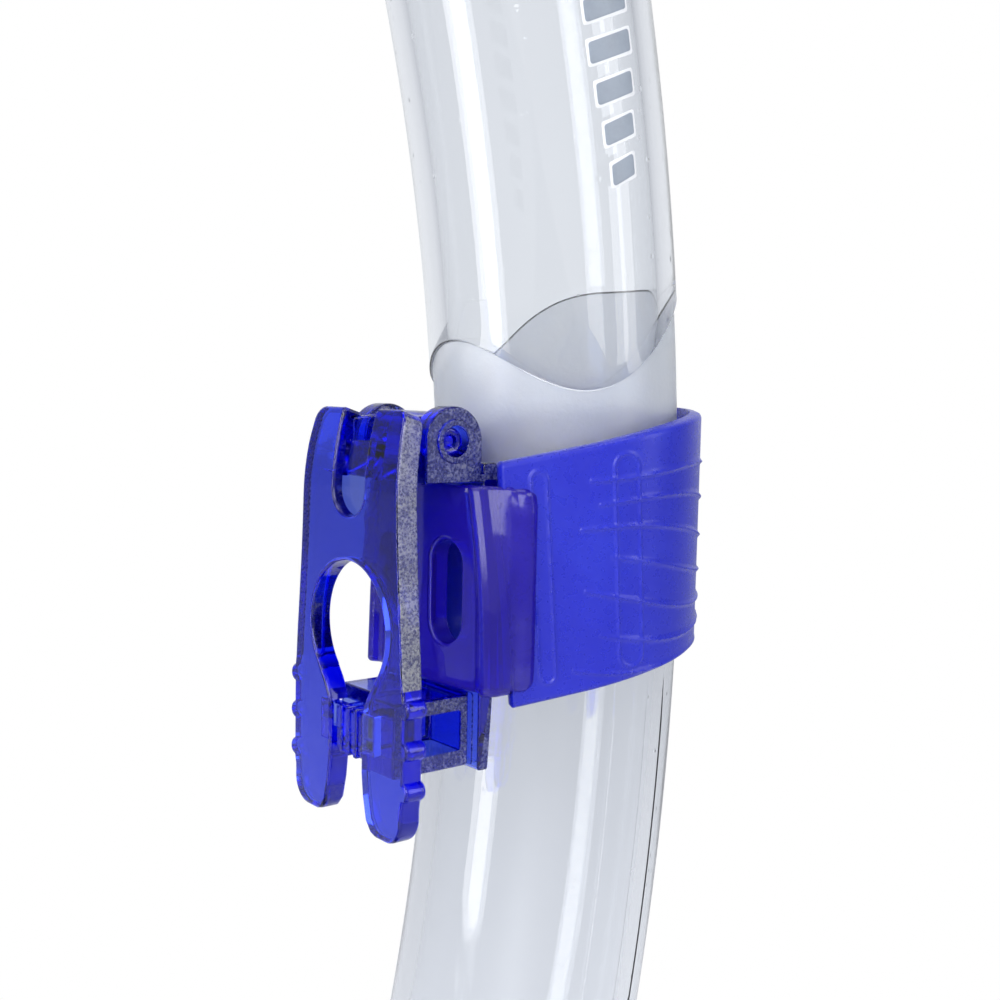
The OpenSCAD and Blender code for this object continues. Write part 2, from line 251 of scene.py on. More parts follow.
def combine(parts, op="UNION", least=0):
    """Exact boolean of the first part with each other one.

    A result of the wrong volume is tried again with the solver's slower options and then with the
    tool shifted by a hair. If all fail, a union keeps the two shells in one mesh and a cut is left out.
    least is the smallest volume that a union may have.
    """
    base, name = parts[0], parts[0].data.name
    for o in parts[1:]:
        before, tool = volume(base.data), volume(o.data)
        for attempt in range(TRIES):
            m = base.modifiers.new("merge", "BOOLEAN")
            m.operation, m.solver, m.object = op, "EXACT", o
            m.use_self, m.use_hole_tolerant = attempt % 4 in (1, 3), attempt % 4 in (2, 3)
            me = clean(baked(base))
            after = volume(me)
            good = (max(before * 0.995, tool * 0.995, least) <= after <= before + tool + 0.5 if op == "UNION"
                    else before - tool * 1.01 - 0.5 <= after <= before + 0.01)
            if good:
                break
            if attempt == 3:
                o.data.transform(move(0.0031, -0.0043, 0.0037))
        if not good:
            print("BOOLEAN KEPT APART:", name, o.name, round(before, 2), round(tool, 2), round(after, 2))
            if op == "UNION":
                bm = bmesh.new()
                bm.from_mesh(base.data)
                bm.from_mesh(o.data)
                bm.to_mesh(me)
                bm.free()
            else:
                me = base.data
        base.data = me
    me.name = name
    for o in parts[1:]:
        bpy.data.objects.remove(o)
    return base


def cut(base, *tools):
    return combine([base, *tools], "DIFFERENCE")


def cuts_at(ob, normal, places):
    """Adds edge loops where the mesh crosses planes, so that it can be bent."""
    bm = bmesh.new()
    bm.from_mesh(ob.data)
    for p in places:
        bmesh.ops.bisect_plane(bm, geom=bm.verts[:] + bm.edges[:] + bm.faces[:], dist=1e-5,
                               plane_co=Vector(normal) * p, plane_no=normal)
    bm.to_mesh(ob.data)
    bm.free()


def reshape(ob, function):
    for v in ob.data.vertices:
        v.co = function(v.co)


def finish_piece(ob, body, materials, replaces=(), sharp=32, pick=None, weighted=True):
    """Shades a piece, scales it to metres and puts it on its body."""
    me = ob.data
    me.materials.clear()
    for m in materials:
        me.materials.append(m)
    picked = [pick(p) for p in me.polygons] if pick else [0] * len(me.polygons)
    for p, index in zip(me.polygons, picked):
        p.use_smooth = True
        p.material_index = index
    me.set_sharp_from_angle(angle=math.radians(sharp))
    if weighted:
        w = ob.modifiers.new("normals", "WEIGHTED_NORMAL")
        w.keep_sharp = True
        name = me.name
        ob.data = baked(ob)
        ob.data.name = name
    ob.data.transform(Matrix.Scale(0.001, 4))
    if body:
        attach(ob, body)
    if replaces:
        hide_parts(*replaces)
    return ob


# ---------------------------------------------------------------- materials
def fill_ramp(node, stops):
    while len(node.color_ramp.elements) < len(stops):
        node.color_ramp.elements.new(0.5)
    for e, (at, colour) in zip(node.color_ramp.elements, stops):
        e.position, e.color = at, (*colour, 1)


class Nodes:
    """A material's node tree, with short names for the nodes the looks are made of."""

    def __init__(self, name):
        self.mat = bpy.data.materials.new(name)
        self.mat.use_nodes = True
        self.tree = self.mat.node_tree
        self.bsdf = self.tree.nodes["Principled BSDF"]
        self.out = self.tree.nodes["Material Output"]
        self.coord = self.tree.nodes.new("ShaderNodeTexCoord").outputs["Object"]

    def add(self, kind, **values):
        n = self.tree.nodes.new(kind)
        for key, value in values.items():
            setattr(n, key, value)
        return n

    def link(self, a, b):
        self.tree.links.new(a, b)

    def stretch(self, scale):
        n = self.add("ShaderNodeMapping")
        n.inputs["Scale"].default_value = scale
        self.link(self.coord, n.inputs["Vector"])
        return n.outputs[0]

    def noise(self, scale, detail=3.0, rough=0.5, vector=None):
        n = self.add("ShaderNodeTexNoise")
        n.inputs["Scale"].default_value = scale
        n.inputs["Detail"].default_value = detail
        n.inputs["Roughness"].default_value = rough
        self.link(vector or self.coord, n.inputs["Vector"])
        return n.outputs["Fac"]

    def cells(self, scale, vector=None):
        n = self.add("ShaderNodeTexVoronoi")
        n.inputs["Scale"].default_value = scale
        self.link(vector or self.coord, n.inputs["Vector"])
        return n.outputs["Distance"]

    def span(self, value, a, b, c, d):
        n = self.add("ShaderNodeMapRange")
        for i, x in enumerate((a, b, c, d)):
            n.inputs[i + 1].default_value = x
        self.link(value, n.inputs[0])
        return n.outputs[0]

    def ramp(self, value, stops):
        n = self.add("ShaderNodeValToRGB")
        fill_ramp(n, stops)
        self.link(value, n.inputs[0])
        return n.outputs[0]

    def bump(self, height, strength, distance):
        n = self.add("ShaderNodeBump")
        n.inputs["Strength"].default_value = strength
        n.inputs["Distance"].default_value = distance
        self.link(height, n.inputs["Height"])
        return n.outputs[0]

    def total(self, *heights):
        """Sum of (height, share) pairs, so that one Bump node carries coarse and fine relief."""
        last = None
        for height, share in heights:
            n = self.add("ShaderNodeMath", operation="MULTIPLY_ADD")
            self.link(height, n.inputs[0])
            n.inputs[1].default_value = share
            if last:
                self.link(last, n.inputs[2])
            else:
                n.inputs[2].default_value = 0
            last = n.outputs[0]
        return last

    def set(self, **values):
        for key, value in values.items():
            self.bsdf.inputs[key.replace("_", " ")].default_value = value

    def absorb(self, colour, density):
        v = self.add("ShaderNodeVolumeAbsorption")
        v.inputs["Color"].default_value = (*colour, 1)
        v.inputs["Density"].default_value = density
        self.link(v.outputs[0], self.out.inputs["Volume"])


def clear_tube(name, tint=(0.965, 0.975, 0.99), density=4.0):
    """Clear polycarbonate: polished, faint flow waves, a few tiny specks and hairline scuffs."""
    k = Nodes(name)
    k.set(Transmission_Weight=1.0, IOR=1.52)
    fog = k.noise(38, 3)
    k.link(k.ramp(fog, [(0.3, tint), (0.7, tuple(c * 0.985 for c in tint))]), k.bsdf.inputs["Base Color"])
    scuff = k.noise(900, 2, 0.6, k.stretch((1, 1, 0.06)))
    k.link(k.span(scuff, 0.55, 0.85, 0.02, 0.12), k.bsdf.inputs["Roughness"])
    waves = k.noise(45, 2, 0.4, k.stretch((1, 1, 0.35)))
    specks = k.span(k.cells(320), 0.0, 0.09, 1.0, 0.0)
    k.link(k.bump(k.total((waves, 1.0), (specks, 0.14)), 0.16, 0.0012), k.bsdf.inputs["Normal"])
    k.absorb((0.55, 0.7, 0.95), density)
    return k.mat


def frosted_tube(name):
    """The frosted seat: an even spark texture that scatters the light."""
    k = Nodes(name)
    k.set(Transmission_Weight=0.72, IOR=1.42)
    fine = k.noise(1700, 2, 0.55)
    coarse = k.noise(240, 3)
    k.link(k.ramp(coarse, [(0.25, (0.88, 0.93, 1.0)), (0.75, (0.95, 0.97, 1.0))]),
           k.bsdf.inputs["Base Color"])
    k.link(k.span(fine, 0.3, 0.7, 0.30, 0.42), k.bsdf.inputs["Roughness"])
    k.link(k.bump(fine, 0.3, 0.00012), k.bsdf.inputs["Normal"])
    return k.mat


def hard_blue(name, edge=None, density=1400, colour=(0.06, 0.26, 0.972)):
    """Deep blue transparent moulding; its edge version carries the mould's coarse spark texture and painted
    glints: near-white specks in its base colour.
    """
    k = Nodes(name)
    k.set(Transmission_Weight=1.0, IOR=1.5)
    k.absorb(colour, density)
    waves = k.noise(120, 2, 0.4)
    if edge:
        grain = k.noise(4200, 2, 0.6)
        cloud = k.noise(500, 2, 0.5)
        k.set(Transmission_Weight=0.7)
        # the grain's colours climb to near white: painted glints on the spark texture; its relief and roughness
        # are real
        spark_glint_tone = k.add("ShaderNodeMath", operation="ADD")
        k.link(grain, spark_glint_tone.inputs[0])
        k.link(k.span(cloud, 0.3, 0.7, -0.06, 0.06), spark_glint_tone.inputs[1])
        k.link(k.ramp(spark_glint_tone.outputs[0], list(zip((0.36, 0.52, 0.66), edge))), k.bsdf.inputs["Base Color"])
        k.link(k.span(grain, 0.3, 0.7, 0.2, 0.4), k.bsdf.inputs["Roughness"])
        k.link(k.bump(grain, 0.6, 0.00016), k.bsdf.inputs["Normal"])
    else:
        fine = k.noise(700, 3)
        k.link(k.ramp(waves, [(0.3, (0.93, 0.94, 1)), (0.7, (1, 1, 1))]), k.bsdf.inputs["Base Color"])
        k.link(k.span(fine, 0.35, 0.8, 0.025, 0.11), k.bsdf.inputs["Roughness"])
        k.link(k.bump(waves, 0.25, 0.0006), k.bsdf.inputs["Normal"])
    return k.mat


def soft_blue(name):
    """Frosted translucent elastomer of the collar's band: satin and faintly mottled."""
    k = Nodes(name)
    k.set(Transmission_Weight=0.3, IOR=1.46)
    cloud = k.noise(90, 3, 0.6)
    shades = [(0.2, (0.012, 0.018, 0.52)), (0.55, (0.017, 0.026, 0.59)), (0.85, (0.026, 0.046, 0.67))]
    k.link(k.ramp(cloud, shades), k.bsdf.inputs["Base Color"])
    fine = k.noise(1500, 2, 0.5)
    k.link(k.span(fine, 0.3, 0.7, 0.24, 0.36), k.bsdf.inputs["Roughness"])
    k.link(k.bump(k.total((fine, 0.015), (k.noise(60, 2), 1.0)), 0.12, 0.0012), k.bsdf.inputs["Normal"])
    return k.mat


def soft_clear(name):
    """The pocket wall: the same elastomer, polished and clearer, with a few frosted patches."""
    k = Nodes(name)
    k.set(Transmission_Weight=0.72, IOR=1.46)
    k.absorb((0.08, 0.12, 0.97), 700)
    patch = k.noise(150, 2, 0.5)
    k.link(k.ramp(patch, [(0.3, (0.040, 0.018, 0.62)), (0.7, (0.060, 0.030, 0.74))]),
           k.bsdf.inputs["Base Color"])
    k.link(k.span(patch, 0.5, 0.66, 0.05, 0.2), k.bsdf.inputs["Roughness"])
    k.link(k.bump(k.total((k.noise(1300, 2, 0.5), 0.03), (k.noise(110, 2), 1.0)), 0.2, 0.0008),
           k.bsdf.inputs["Normal"])
    return k.mat


def rubber(name, colour, rough=0.5, transmission=0.0, grain=1500):
    k = Nodes(name)
    k.set(IOR=1.43, Transmission_Weight=transmission)
    cloud = k.noise(70, 4, 0.6)
    darker, lighter = tuple(c * 0.85 for c in colour), tuple(min(1, c * 1.12) for c in colour)
    k.link(k.ramp(cloud, [(0.25, darker), (0.75, lighter)]), k.bsdf.inputs["Base Color"])
    fine = k.noise(grain, 4, 0.6)
    k.link(k.span(fine, 0.3, 0.7, rough - 0.08, rough + 0.1), k.bsdf.inputs["Roughness"])
    k.link(k.bump(k.total((fine, 0.3), (k.noise(110, 2), 1.0)), 0.1, 0.0008), k.bsdf.inputs["Normal"])
    return k.mat


def steel(name):
    k = Nodes(name)
    k.set(Metallic=1.0)
    lines = k.noise(900, 3, 0.6, k.stretch((1, 0.05, 1)))
    k.link(k.ramp(lines, [(0.3, (0.55, 0.56, 0.58)), (0.7, (0.72, 0.73, 0.75))]), k.bsdf.inputs["Base Color"])
    k.link(k.span(lines, 0.3, 0.7, 0.22, 0.38), k.bsdf.inputs["Roughness"])
    k.link(k.bump(lines, 0.12, 0.0001), k.bsdf.inputs["Normal"])
    return k.mat


def foam(name):
    k = Nodes(name)
    pores = k.cells(1400)
    # the ramp darkens the pits at the cells' centres: painted shade in the pores; the bump gives them their
    # real depth
    k.link(k.ramp(pores, [(0.0, (0.42, 0.15, 0.03)), (0.35, (0.78, 0.33, 0.06))]), k.bsdf.inputs["Base Color"])
    k.link(k.span(k.noise(300), 0.3, 0.7, 0.7, 0.9), k.bsdf.inputs["Roughness"])
    k.link(k.bump(pores, 0.5, 0.0003), k.bsdf.inputs["Normal"])
    return k.mat


def ink(name, colour, rough=0.32):
    k = Nodes(name)
    worn = k.noise(420, 4, 0.65)
    k.link(k.ramp(worn, [(0.28, tuple(c * 0.86 for c in colour)), (0.6, colour)]), k.bsdf.inputs["Base Color"])
    k.link(k.span(worn, 0.3, 0.7, rough - 0.06, rough + 0.12), k.bsdf.inputs["Roughness"])
    k.link(k.bump(worn, 0.1, 0.00005), k.bsdf.inputs["Normal"])
    return k.mat


CLEAR = clear_tube("clear_polycarbonate")
FROST = frosted_tube("frosted_polycarbonate")
HARD = hard_blue("blue_moulding")
# spark-textured variants: the last, near-white colour of each list is painted glints
EDGE = hard_blue("blue_moulding_spark_edge_painted_glints",
                 edge=((0.16, 0.17, 0.42), (0.46, 0.47, 0.64), (0.86, 0.87, 0.94)))
LUG = hard_blue("blue_moulding_spark_side_painted_glints",
                edge=((0.03, 0.035, 0.30), (0.10, 0.12, 0.50), (0.50, 0.52, 0.80)))
DARK = hard_blue("dark_blue_moulding", density=1700, colour=(0.02, 0.07, 0.72))
SOFT = soft_blue("blue_elastomer")
SOFT_CLEAR = soft_clear("blue_elastomer_polished")
SIL_BLUE = rubber("blue_silicone", (0.045, 0.06, 0.36), 0.42)
SIL_CLEAR = rubber("milky_silicone", (0.78, 0.82, 0.86), 0.3, 0.55)
SIL_BLACK = rubber("black_silicone", (0.02, 0.021, 0.025), 0.5)
WHITE = rubber("white_acetal", (0.78, 0.79, 0.81), 0.34)
FOAM = foam("orange_float")
STEEL = steel("stainless_pin")
INK = ink("print_silver_grey", (0.30, 0.34, 0.40))
INK_EDGE = ink("print_white", (0.85, 0.86, 0.88))

for node, mats in {
        "valve_float": FOAM, "valve_lever": WHITE, "valve_seal": SIL_BLACK, "valve_pin": STEEL,
        "top_gasket": SIL_BLACK, "purge_seat": DARK, "purge_membrane": SIL_CLEAR}.items():
    ob = frame["nodes"][node]
    ob.data.materials.clear()
    ob.data.materials.append(mats)


# ---------------------------------------------------------------- main tube
def seat_top(t):
    """Arc length of the frosted seat's upper edge at angle t round the tube."""
    return 23.01 + 3.32 * math.cos(t) + 2.47 * math.cos(2 * t) - 1.60 * math.cos(3 * t)


def seat_bottom(t):
    return -8.2 + 2.3 * math.cos(t)


def tube_point(s, t, r):
    """s along the axis from the clip, t round it (0 on the outer side of the bend), r from it."""
    bend_end = 32 * DEG
    f = on_bend(min(s, bend_end) / DEG)
    return f @ Vector((r * math.cos(t), r * math.sin(t), max(0.0, s - bend_end)))


def make_tube():
    low, high = -20 * DEG, 32 * DEG + 58
    ridges = (-69, -103)
    angles = sorted(set([a * 2.5 - 180 for a in range(144)] +
                        [g + d for g in ridges for d in (-0.9, -0.45, 0, 0.45, 0.9)]))
    angles = [math.radians(a) for a in angles]
    seg = len(angles)

    def ridge(t, s):
        g = sum(math.exp(-((math.degrees(t) - a) / 0.5) ** 2) for a in ridges)
        return 0.07 * g * min(1, max(0, (-9 - s) / 3))

    lip = ((0, 0.45), (0.12, 0.16), (0.4, 0.0))     # (distance from the end, depth of the rounding)
    inner_lip = ((0, 0.4), (0.12, 0.12), (0.4, 0.0))
    rows = [lambda t, d=d, r=r: (low + d, OUT_R - r) for d, r in lip]    # each gives s and r at an angle
    for i in range(1, 40):
        rows.append(lambda t, f=i / 40: ((low + 0.4) + f * (seat_bottom(t) - low - 0.4), OUT_R))
    rows.append(lambda t: (seat_bottom(t), OUT_R))
    rows.append(lambda t: (seat_bottom(t) + 0.1, 12.22))
    n_clear = len(rows)
    for i in range(1, 24):
        rows.append(lambda t, f=i / 24:
                    (seat_bottom(t) + 0.1 + f * (seat_top(t) - 0.16 - seat_bottom(t)), SEAT_R))
    rows.append(lambda t: (seat_top(t) - 0.06, SEAT_R))
    n_frost = len(rows)
    rows.append(lambda t: (seat_top(t) + 0.04, 12.42))
    rows.append(lambda t: (seat_top(t) + 0.12, 12.52))
    rows.append(lambda t: (seat_top(t) + 0.3, OUT_R))
    for i in range(1, 90):
        rows.append(lambda t, f=i / 90: (seat_top(t) + 0.3 + f * (high - 0.4 - seat_top(t) - 0.3), OUT_R))
    rows += [lambda t, d=d, r=r: (high - d, OUT_R - r) for d, r in reversed(lip)]
    rows += [lambda t, d=d, r=r: (high - d, IN_R + r) for d, r in inner_lip]
    for i in range(1, 120):
        rows.append(lambda t, f=i / 120: (high - 0.4 + f * (low - high + 0.8), IN_R))
    rows += [lambda t, d=d, r=r: (low + d, IN_R + r) for d, r in reversed(inner_lip)]

    verts, faces, frost = [], [], []
    for i, row in enumerate(rows):
        for t in angles:
            s, r = row(t)
            if i < n_clear:
                r += ridge(t, s)
            verts.append(tube_point(s, t, r))
    n = len(rows)
    for i in range(n):
        faces += strip(i, (i + 1) % n, seg)
        frost += [1 if n_clear - 2 <= i < n_frost else 0] * seg
    me = bpy.data.meshes.new("tube_clear_contoured")
    me.from_pydata([tuple(v) for v in verts], [], faces)
    for p, f in zip(me.polygons, frost):
        p.material_index = f
    ob = link("tube_clear_contoured", me)
    bm = bmesh.new()
    bm.from_mesh(me)
    bmesh.ops.recalc_face_normals(bm, faces=bm.faces)
    bm.to_mesh(me)
    bm.free()
    kept = [p.material_index for p in me.polygons]
    finish_piece(ob, "tube", [CLEAR, FROST], ["main_tube"], sharp=40,
                 pick=lambda p: kept[p.index], weighted=False)


make_tube()


def wrapped(name, outline, material, lift):
    """A thin printed patch on the tube; the outline is (arc length round the tube, along it)."""
    ob = plate(name, [outline], 0.04, 0.008, steps=1)
    us = [p[0] for p in outline]
    vs = [p[1] for p in outline]
    cuts_at(ob, (1, 0, 0), list(np.arange(min(us) + 0.4, max(us), 0.4)))
    cuts_at(ob, (0, 1, 0), list(np.arange(min(vs) + 1.2, max(vs), 1.2)))
    reshape(ob, lambda c: tube_point(c.y, c.x / OUT_R, OUT_R + lift + c.z))
    return finish_piece(ob, "tube", [material], sharp=50, weighted=False)


def make_print():
    """Generic mark: a column of slanted bars of graded length, each with a white border."""
    u0 = math.radians(-94) * OUT_R
    for i, half in enumerate((1.3, 1.7, 2.1, 2.4, 2.4, 2.4, 2.1, 1.7, 1.3)):
        y0 = 38.4 + i * 3.6
        for border, mat, lift in ((0.28, INK_EDGE, 0.03), (0.0, INK, 0.062)):
            w, h = half + border, 0.95 + border
            loop = [(u0 + x, y0 + y) for x, y in
                    ((-w, -h - 0.5), (w, -h + 0.5), (w, h + 0.5), (-w, h - 0.5))]
            wrapped(f"tube_print_bar_{i}_{'border' if border else 'fill'}", rounded(loop, 0.3, 3), mat, lift)


make_print()


# ---------------------------------------------------------------- soft collar
TANGENT = math.radians(118)          # where the band leaves the circle and runs straight
STRAIGHT = (-0.883, 0.469)


def band_line(length):
    """Point and outward normal of the band's outer face; length runs from its far side."""
    side = 1 if length >= 0 else -1
    a = abs(length) / BAND_R
    if a <= TANGENT:
        x, y, nx, ny = BAND_R * math.cos(a), BAND_R * math.sin(a), math.cos(a), math.sin(a)
    else:
        run = abs(length) - BAND_R * TANGENT
        x, y = BAND_R * math.cos(TANGENT) + STRAIGHT[0] * run, BAND_R * math.sin(TANGENT) - STRAIGHT[1] * run
        nx, ny = -0.469, 0.883
    return (x, side * y), (nx, side * ny)


def segment_distance(px, py, ax, ay, bx, by):
    dx, dy = bx - ax, by - ay
    t = max(0, min(1, ((px - ax) * dx + (py - ay) * dy) / (dx * dx + dy * dy)))
    return math.hypot(px - ax - t * dx, py - ay - t * dy)


def band_relief(length, z):
    """Height of the moulded marks on the band's outer face, in mm."""
    u = abs(length)
    h = 0.0
    # two long narrow outlines near the clip: both ends and half the width
    for ax, az, bx, bz, half in ((30.27 + 5.3, 10.0, 30.27 + 4.0, -8.0, 0.75), (27.2, 11.2, 26.2, -6.2, 1.25)):
        d = abs(segment_distance(u, z, ax, az, bx, bz) - half)
        h = max(h, 0.16 * math.exp(-(d / 0.13) ** 2))
    # long low waves that run round the band from staggered starts
    for k, back in enumerate((0, 2.6, 1.0, 3.4, 0.4, 2.2, 1.2)):
        start = 32.0 - back
        if u < start:
            line = -7.2 + 2.95 * k + 1.0 * math.sin(u * 0.17 + k * 0.9)
            d = abs(z - 0.03 * (u - 20) - line)
            taper = min(1, (start - u) / 2.5)
            h = max(h, 0.24 * (0.45 + 0.55 * taper) * math.exp(-(d / (0.13 + 0.05 * taper)) ** 2))
    return h


def make_collar():
    edge = BAND_R * TANGENT
    stations = []                        # (length round the circle, share of the straight end)
    for side in (-1, 1):
        part = [(side * edge * i / 240, 0.0) for i in range(241)]
        part += [(side * edge, i / 80) for i in range(1, 81)]
        stations += list(reversed(part[1:])) if side < 0 else part
    rows_out, rows_in = 150, 12
    thick, rim = 2.15, 0.55
    section = [(0.0, f) for f in np.linspace(0, 1, rows_out)] + [(1.0, f) for f in np.linspace(1, 0, rows_in)]
    rings = []
    last = len(stations) - 1
    for i, (length, run) in enumerate(stations):
        near = min(i, last - i)
        shrink = (0.55, 0.26, 0.08, 0.0)[min(near, 3)]
        ring = []
        for depth, f in section:
            reach = 7.36 + f * (8.95 - 7.36)          # the straight end is longer at the top
            total = length + (1 if length >= 0 else -1) * run * reach
            (x, y), (nx, ny) = band_line(total)
            sx = (y / BAND_R) ** 2
            z0 = -9.1 + 0.181 * x + 0.93 * sx
            z1 = 13.8 + 0.181 * x + 0.93 * sx
            z = z0 + f * (z1 - z0)
            # thinner round the side away from the clip
            far = 0.4 * (1 + math.cos(math.pi * min(1, abs(length) / 25.7))) if depth < 0.5 else 0
            d = depth * thick + far
            gap = min(z - z0, z1 - z)
            if gap < rim:
                k = rim - math.sqrt(max(0, rim * rim - (rim - gap) ** 2))
                d = d + k if depth < 0.5 else d - k
            if depth < 0.5:
                d -= band_relief(total, z) * (1 if gap > rim else max(0, gap / rim))
            if shrink:
                zc = (z0 + z1) / 2
                d = thick / 2 + (d - thick / 2) * (1 - shrink)
                z = zc + (z - zc) * (1 - shrink * 0.045)
            ring.append((TX + x - nx * d, y - ny * d, z))
        rings.append(ring)
    band = loft("collar_band", rings, closed=False)
    half = [(17.0, 0), (16.93, 2), (16.75, 4), (16.45, 6.0), (16.15, 7.4), (16.2, 7.9), (16.55, 8.3),
            (16.75, 8.8), (16.6, 9.2), (16.15, 9.55), (15.4, 9.8), (14.6, 9.9), (14.0, 9.95), (13.5, 10.1),
            (13.2, 10.4), (12.85, 10.65), (12.3, 10.75), (11.7, 10.6), (11.35, 10.2), (11.2, 9.6), (11.5, 8.9),
            (12.4, 7.6), (12.6, 6.9), (13.0, 6.6), (14.6, 6.6), (14.9, 6.3), (14.9, 0)]
    loop = half[:-1] + [(n, -w) for n, w in reversed(half[1:-1])]
    pad = plate("collar_pad", [rounded(loop, 0.25, 2)], 18.9, 0.45, CLIP @ move(0, 0, -0.15), steps=3)
    cuts_at(pad, (0, 0, 1), [-8.5 + 1.0 * i for i in range(18)])

    def bow(c):
        """The ridge leans in at its top and out at its foot, and the flange's corners are round."""
        n, w, t = TX - c.x, abs(c.y), (c.z + 2) / 11.5
        lean = 1.1 * t + 0.9 * t * t if t > 0 else 0.5 * t
        share = max(0, min(1, (w - 5.9) / 2.3)) * max(0, min(1, (n - 13.7) / 1.6))
        y = w - lean * share
        end = max(0, abs(c.z + 0.15) - 7.9)
        if n < 13.6 and w > 9:
            y -= 0.8 * (end / 1.55) ** 2 * min(1, (w - 9) / 1.2)
        return Vector((c.x, math.copysign(y, c.y), c.z))

    reshape(pad, bow)
    slots = []
    for side in (-1, 1):
        slots.append(plate("slot", [pill(side * 3.65, -3.4, 2.0, 2.2)], 8, 0.05, FACE, steps=1, at=17))
        slots.append(plate("slot", [pill(side * 3.65, -3.4, 2.0, 2.55)], 0.5, 0.2, FACE, steps=2, at=16.9))
    pad = cut(pad, *slots)
    band.name, pad.name = "collar_band", "collar_pocket_wall"
    finish_piece(band, "collar", [SOFT], ["keeper_collar"], sharp=60, weighted=False)
    finish_piece(pad, "collar", [SOFT_CLEAR], sharp=34)


make_collar()


# ---------------------------------------------------------------- clip body
def spark_and_glint_sides(p):
    """The mould's spark texture, with its painted glints, is on the outer side faces only."""
    c = p.center
    return 1 if abs(p.normal.y) > 0.85 and abs(c.y) > 5.2 and (c.z > 9.5 or c.z < -9.9) else 0


def make_clip_body():
    parts = []
    back = [(12.85, 11.3), (14.6, 11.3), (14.6, -17.5), (13.35, -17.5), (13.05, -13), (12.85, -9)]
    parts.append(plate("clip_body", [rounded(back, [0.4, 0.4, 0.5, 0.2, 0, 0], 3)], 12.6, 0.3, SIDE))
    parts.append(block("shelf", (12.9, -6.3, 9.55), (20.9, 6.3, 10.4), 0.25, CLIP))
    lug = [(14.7, 9.6), (21.0, 9.6)] + arc(*HINGE, 3.15, 0, 180, 24)
    for side in (-1, 1):
        parts.append(plate("lug", [lug, circle(*HINGE, 1.36, 32)], 2.2, 0.3, SIDE, at=side * 5.2))
        # raised rim round the pin's hole
        parts.append(plate("rim", [circle(*HINGE, 2.0, 40), circle(*HINGE, 1.37, 40)], 0.5, 0.15, SIDE,
                           at=side * 6.25))
    arm = block("arm", (13.2, -5.4, -17), (22.3, 5.4, -10.2), 0.35, CLIP)
    pockets = []
    for side in (-1, 1):
        y = side * 3.4
        pockets.append(block("pocket", (16.0, y - 2.7, -15.4), (21.5, y + 2.7, -11.6), 0.25, CLIP))
        pockets.append(block("groove", (14.75, side * 5.4 - 0.7, -18), (15.3, side * 5.4 + 0.7, -9), 0.1, CLIP))
    parts.append(cut(arm, *pockets))
    head = [block("neck", (21.6, -2.2, -15.5), (24.8, 2.2, -11.5), 0.3, CLIP)]
    head.append(block("wings", (23.3, -4.2, -13.8), (24.3, 4.2, -11.43), 0.25, CLIP))
    for y in (-1.25, 0, 1.25):
        head.append(block("neck_rib", (22.55, y - 0.3, -15.7), (25.0, y + 0.3, -11.24), 0.2, CLIP))
    parts.append(combine(head))
    ob = combine(parts)
    ob.name = "clip_body_moulded"
    finish_piece(ob, "collar", [HARD, LUG], ["clip_body"], sharp=34, pick=spark_and_glint_sides)


make_clip_body()

pin = [(0, 5.35), (0.45, 5.35), (0.62, 5.62), (0.95, 5.72), (1.18, 5.66), (1.3, 5.45),
       (1.3, -5.45), (1.18, -5.66), (0.95, -5.72), (0.62, -5.62), (0.45, -5.35), (0, -5.35)]
finish_piece(lathe("clip_hinge_pin_dimpled", pin, PIN, 48, closed=False),
             "collar", [HARD], ["clip_hinge_pin"])


